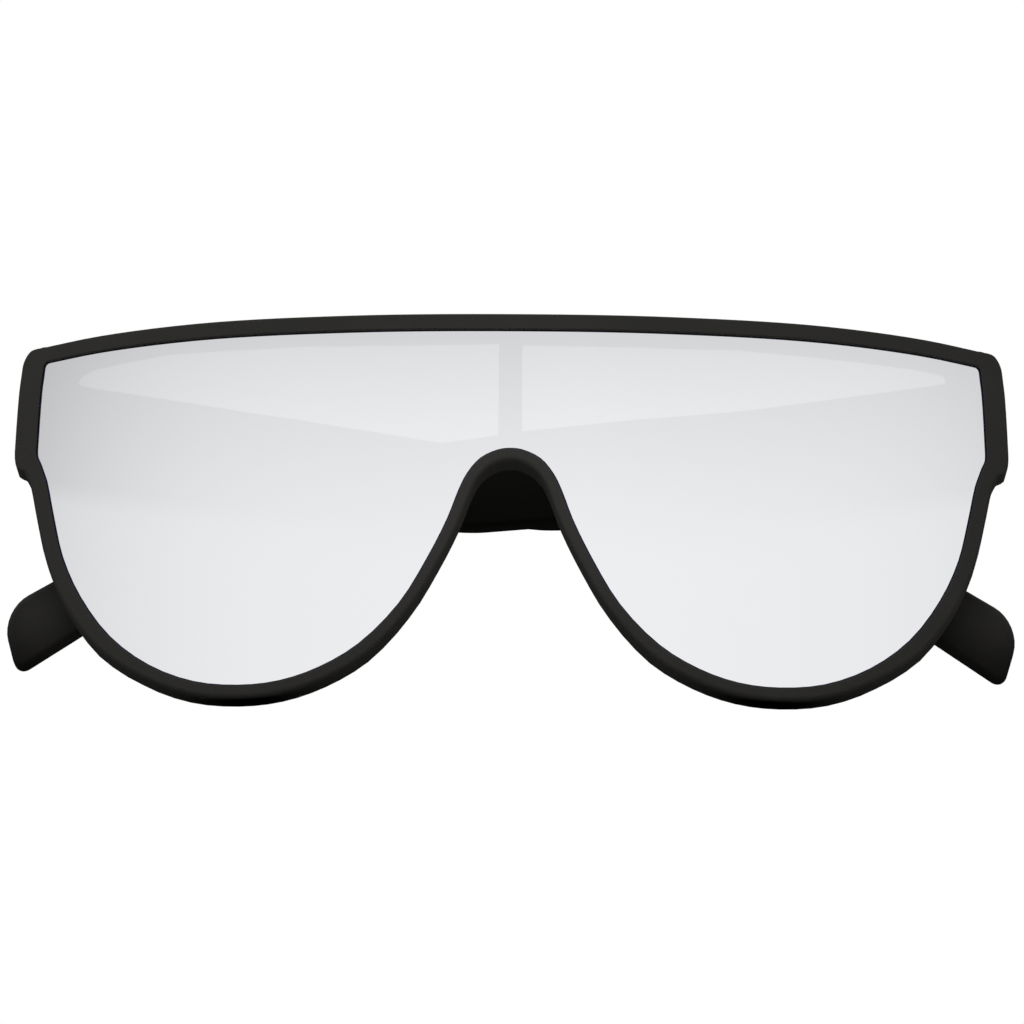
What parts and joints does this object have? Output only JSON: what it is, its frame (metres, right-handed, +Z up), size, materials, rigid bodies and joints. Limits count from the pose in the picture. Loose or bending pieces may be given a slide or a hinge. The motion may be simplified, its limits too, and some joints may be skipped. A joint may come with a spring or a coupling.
{
  "type": "shield sunglasses",
  "caption": "Flat-top shield sunglasses: a curved silver mirror lens in a full black rim, with two black temples that fold on metal hinges.",
  "frame": {"origin": "on the plane that the lobes stand on, under the middle of the folded glasses", "axes": "+Z up as worn, the lens facing -Y, +X towards the wearer's left"},
  "size_m": [0.152, 0.0312, 0.0596],
  "materials": {
    "black_plastic": "satin, lightly rubberised black",
    "mirror_lens": "polished polycarbonate with a silver mirror coat on its front",
    "hinge_metal": "plated"
  },
  "bodies": {
    "front": {"front_frame": "black_plastic", "shield_lens": "mirror_lens", "right_front_leaf": "hinge_metal", "left_front_leaf": "hinge_metal", "right_hinge_screw": "hinge_metal", "left_hinge_screw": "hinge_metal", "right_front_leaf_screws": "hinge_metal", "left_front_leaf_screws": "hinge_metal"},
    "right_temple": {"right_temple": "black_plastic", "right_temple_leaf": "hinge_metal", "right_temple_leaf_screws": "hinge_metal"},
    "left_temple": {"left_temple": "black_plastic", "left_temple_leaf": "hinge_metal", "left_temple_leaf_screws": "hinge_metal"}
  },
  "joints": [
    {"name": "right_temple_fold", "type": "hinge", "parent": "front", "child": "right_temple", "pos_m": [-0.069, 0.00805, 0.0481], "axis": [0.0122, 0, 0.9999], "range_deg": [0, 91.37]},
    {"name": "left_temple_fold", "type": "hinge", "parent": "front", "child": "left_temple", "pos_m": [0.069, 0.00805, 0.0481], "axis": [-0.0122, 0, -0.9999], "range_deg": [0, 88.63]}
  ]
}
